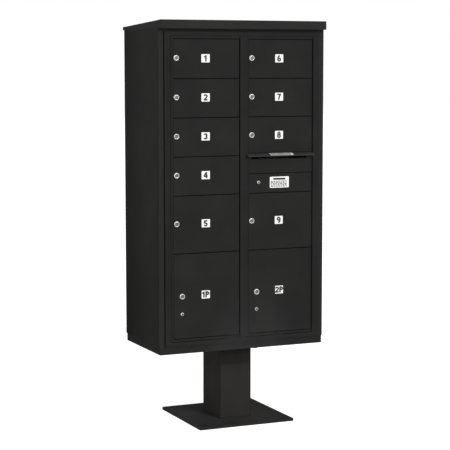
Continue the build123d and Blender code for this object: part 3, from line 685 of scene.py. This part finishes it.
def on_hood(x, share, lift):
    """A point over the hood's slope: share goes from its root to its nose."""
    return hood_root + hood_slope * share + hood_up * lift + Vector((x, 0, 0))


def hood_slab(x_span, shares, low, high):
    """Rings of a thin slab on the hood's slope."""
    (left, right), (upper, lower) = x_span, shares
    corners = [(left, upper), (right, upper), (right, lower), (left, lower)]
    return [[on_hood(x, share, lift) for x, share in corners] for lift in (low, high)]


mesh_piece(
    "hood_label",
    lambda bm: add_slab(bm, hood_slab(STRIP_X, STRIP_SHARE, 0, STRIP_THICKNESS)),
    plate_white,
    "master_right",
)


def hood_bars(bm):
    """Rows of short plain bars along the hood's label."""
    low = STRIP_THICKNESS - PRINT_SINK
    for row, shares in enumerate(STRIP_ROWS):
        left = STRIP_X[0] + STRIP_MARGINS[0] + row * MM
        lengths = [(10 + 3 * math.sin(2.1 * word + 1.3 * row)) * MM for word in range(WORDS)]
        for span in word_spans(left, STRIP_X[1] - STRIP_MARGINS[1], lengths, 2.6 * MM):
            add_slab(bm, hood_slab(span, shares, low, low + PRINT_DEPTH))


mesh_piece("hood_label_bars", hood_bars, plate_ink, "master_right")

# The baffle behind the mail slot, sloping down and back from the slot's upper edge.
SLOT_DROP = 9.5 * MM
BAFFLE_X = (40 * MM, 331 * MM)
BAFFLE_SHEET = 1.0 * MM
BAFFLE_GAP = 1.9 * MM
BAFFLE_RUN = 17 * MM
BAFFLE_RISE = 2.5 * MM
BAFFLE_FALL = 10.5 * MM
BAFFLE_UPRIGHT_SHEET = BAFFLE_SHEET * 1.3
slot_top = plate_high.z - SLOT_DROP
baffle_front = plate_low.y + HOOD_REACH + BAFFLE_GAP
baffle_back = baffle_front + BAFFLE_RUN
baffle_outline = (
    (baffle_front, slot_top + BAFFLE_RISE),
    (baffle_back, slot_top - BAFFLE_FALL),
    (baffle_back, slot_top - BAFFLE_FALL - BAFFLE_SHEET),
    (baffle_front, slot_top + BAFFLE_RISE - BAFFLE_UPRIGHT_SHEET),
)
mesh_piece(
    "slot_baffle",
    lambda bm: add_slab(bm, [[(x, y, z) for y, z in baffle_outline] for x in BAFFLE_X]),
    black,
    "master_right",
)

# ---------------------------------------------------------------- weld bead round the column's foot
COLUMN_WIDTH = 160.0 * MM
COLUMN_DEPTH = 209.6 * MM
COLUMN_CORNER = 4 * MM
WELD_LEG = 6.0 * MM
WELD_RIPPLE = 0.5 * MM
WELD_RIPPLE_TURNS = (2.3, 0.71)
WELD_INSIDE = 0.8 * MM
WELD_SINK = 0.2 * MM
WELD_STEPS = 220
plate_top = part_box("base_plate")[1].z


def foot_weld(bm):
    """A rippled bead that fills the corner between the column and the base plate."""
    outline = rounded_outline(COLUMN_WIDTH, COLUMN_DEPTH, COLUMN_CORNER, 8)
    lengths = [math.dist(a, b) for a, b in zip(outline, outline[1:] + outline[:1])]
    total = sum(lengths)
    path = []
    for step in range(WELD_STEPS):
        reach = total * step / WELD_STEPS
        side = 0
        while reach > lengths[side]:
            reach -= lengths[side]
            side += 1
        a, b = outline[side], outline[(side + 1) % len(outline)]
        share = reach / lengths[side]
        along = (Vector(b) - Vector(a)).normalized()
        path.append((Vector(a).lerp(Vector(b), share), Vector((along.y, -along.x))))
    rings = []
    for step, (point, outward) in enumerate(path):
        leg = WELD_LEG + sum(WELD_RIPPLE * math.sin(step * turn) for turn in WELD_RIPPLE_TURNS)
        section = (
            (-WELD_INSIDE, leg),
            (0.25 * leg, 0.62 * leg),
            (0.62 * leg, 0.25 * leg),
            (leg, -WELD_SINK),
            (-WELD_INSIDE, -WELD_SINK),
        )
        rings.append(
            [
                (point.x + outward.x * away, point.y + outward.y * away, plate_top + up)
                for away, up in section
            ]
        )
    add_ring(bm, rings)


smooth(mesh_piece("foot_weld", foot_weld, weld_black, "cabinet"), 50)

# ---------------------------------------------------------------- painted shade strips beside the module's frame
FLANGE_STEP = 0.8 * MM
FRAME_GAP = 0.5 * MM
SHADE_STRIP_WIDTH = 3.2 * MM
SHADE_STRIP_PROUD = 0.5 * MM
SHADE_STRIP_SINK = 0.15 * MM
flange_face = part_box("enclosure_wrap")[0].y + FLANGE_STEP
frame_low, frame_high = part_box("module_frame")


def frame_seals(bm):
    """A thin near-black strip along the inner edge of each flange, up to the header: painted shade
    in the gap beside the module's frame.
    """
    front, back = flange_face - SHADE_STRIP_PROUD, flange_face + SHADE_STRIP_SINK
    for side in (-1, 1):
        inner = side * (frame_high.x + FRAME_GAP)
        outer = inner + side * SHADE_STRIP_WIDTH
        corners = ((inner, front), (outer, front), (outer, back), (inner, back))
        heights = (frame_low.z + SHADE_STRIP_PROUD, frame_high.z)
        add_slab(bm, [[(x, y, z) for x, y in corners] for z in heights])


mesh_piece("frame_seals", frame_seals, gap_painted_shade, "cabinet")

# ---------------------------------------------------------------- stage, lights and camera
FLOOR_HALF = 40
FLOOR_GREY = 0.8
FLOOR_GLOW = 0.62
WORLD_FILL = 0.70

floor_bm = bmesh.new()
bmesh.ops.create_grid(floor_bm, x_segments=1, y_segments=1, size=FLOOR_HALF)
floor_mesh = bpy.data.meshes.new("floor")
floor_bm.to_mesh(floor_mesh)
floor_bm.free()
floor = bpy.data.objects.new("floor", floor_mesh)
bpy.context.scene.collection.objects.link(floor)

# The floor takes shadows, and glows for the camera alone so that it looks white.
floor_material = bpy.data.materials.new("pale_floor")
floor_material.use_nodes = True
tree = floor_material.node_tree
tree.nodes.clear()
output = tree.nodes.new("ShaderNodeOutputMaterial")
diffuse = tree.nodes.new("ShaderNodeBsdfDiffuse")
diffuse.inputs["Color"].default_value = (FLOOR_GREY, FLOOR_GREY, FLOOR_GREY, 1)
glow = tree.nodes.new("ShaderNodeEmission")
rays = tree.nodes.new("ShaderNodeLightPath")
add = tree.nodes.new("ShaderNodeAddShader")
strength = tree.nodes.new("ShaderNodeMath")
strength.operation = "MULTIPLY"
strength.inputs[1].default_value = FLOOR_GLOW
tree.links.new(rays.outputs["Is Camera Ray"], strength.inputs[0])
tree.links.new(strength.outputs["Value"], glow.inputs["Strength"])
tree.links.new(diffuse.outputs["BSDF"], add.inputs[0])
tree.links.new(glow.outputs["Emission"], add.inputs[1])
tree.links.new(add.outputs["Shader"], output.inputs["Surface"])
floor_mesh.materials.append(floor_material)

# The world is white for the camera and in reflections, and a softer fill as light.
world = bpy.data.worlds.new("studio")
bpy.context.scene.world = world
world.use_nodes = True
tree = world.node_tree
tree.nodes.clear()
output = tree.nodes.new("ShaderNodeOutputWorld")
rays = tree.nodes.new("ShaderNodeLightPath")
seen = tree.nodes.new("ShaderNodeMath")
seen.operation = "ADD"
seen.use_clamp = True
tree.links.new(rays.outputs["Is Camera Ray"], seen.inputs[0])
tree.links.new(rays.outputs["Is Glossy Ray"], seen.inputs[1])
seen_all = tree.nodes.new("ShaderNodeMath")
seen_all.operation = "ADD"
seen_all.use_clamp = True
tree.links.new(seen.outputs["Value"], seen_all.inputs[0])
tree.links.new(rays.outputs["Is Transmission Ray"], seen_all.inputs[1])
fill = tree.nodes.new("ShaderNodeBackground")
fill.inputs["Color"].default_value = (1, 1, 1, 1)
fill.inputs["Strength"].default_value = WORLD_FILL
white = tree.nodes.new("ShaderNodeBackground")
white.inputs["Color"].default_value = (1, 1, 1, 1)
mix = tree.nodes.new("ShaderNodeMixShader")
tree.links.new(seen_all.outputs["Value"], mix.inputs["Fac"])
tree.links.new(fill.outputs["Background"], mix.inputs[1])
tree.links.new(white.outputs["Background"], mix.inputs[2])
tree.links.new(mix.outputs["Shader"], output.inputs["Surface"])


def softbox(name, azimuth, elevation, distance, size, power, target=(0, 0, 1.1), spread=180):
    """A square area light, at an azimuth from the front, to the right, as seen from its target."""
    turn, lift = math.radians(azimuth), math.radians(elevation)
    away = Vector(
        (math.sin(turn) * math.cos(lift), -math.cos(turn) * math.cos(lift), math.sin(lift))
    )
    light = bpy.data.lights.new(name, "AREA")
    light.shape = "SQUARE"
    light.size = size
    light.spread = math.radians(spread)
    light.energy = power
    lamp = bpy.data.objects.new(name, light)
    lamp.location = Vector(target) + away * distance
    lamp.rotation_mode = "QUATERNION"
    lamp.rotation_quaternion = (-away).to_track_quat("-Z", "Y")
    bpy.context.scene.collection.objects.link(lamp)


softbox("key", azimuth=14, elevation=22, distance=14.0, size=4.5, power=1010)
softbox(
    "side_fill",
    azimuth=-70,
    elevation=20,
    distance=1.7,
    size=0.8,
    power=3.5,
    target=(-0.42, -0.24, 1.1),
)
softbox(
    "low_fill",
    azimuth=-72,
    elevation=3,
    distance=1.8,
    size=0.5,
    power=0.52,
    target=(-0.08, 0, 0.14),
    spread=26,
)
softbox(
    "low_key",
    azimuth=14,
    elevation=48,
    distance=3.0,
    size=0.05,
    power=0.26,
    target=(0, -0.1, 0.18),
    spread=11,
)

CAMERA_PLACE = (-2.9338, -6.6028, 1.6856)
CAMERA_YAW = 23.896
CAMERA_PITCH = 6.023
CAMERA_ROLL = 0.03
FOCAL_LENGTH = 121.79
SENSOR_WIDTH = 36
CLIP_END = 200

camera_data = bpy.data.cameras.new("camera")
camera_data.sensor_width = SENSOR_WIDTH
camera_data.lens = FOCAL_LENGTH
camera_data.clip_end = CLIP_END
camera = bpy.data.objects.new("camera", camera_data)
camera.location = CAMERA_PLACE
camera.rotation_euler = (
    math.radians(90 - CAMERA_PITCH),
    math.radians(CAMERA_ROLL),
    math.radians(-CAMERA_YAW),
)
bpy.context.scene.collection.objects.link(camera)
bpy.context.scene.camera = camera

bpy.context.scene.view_settings.view_transform = "Standard"
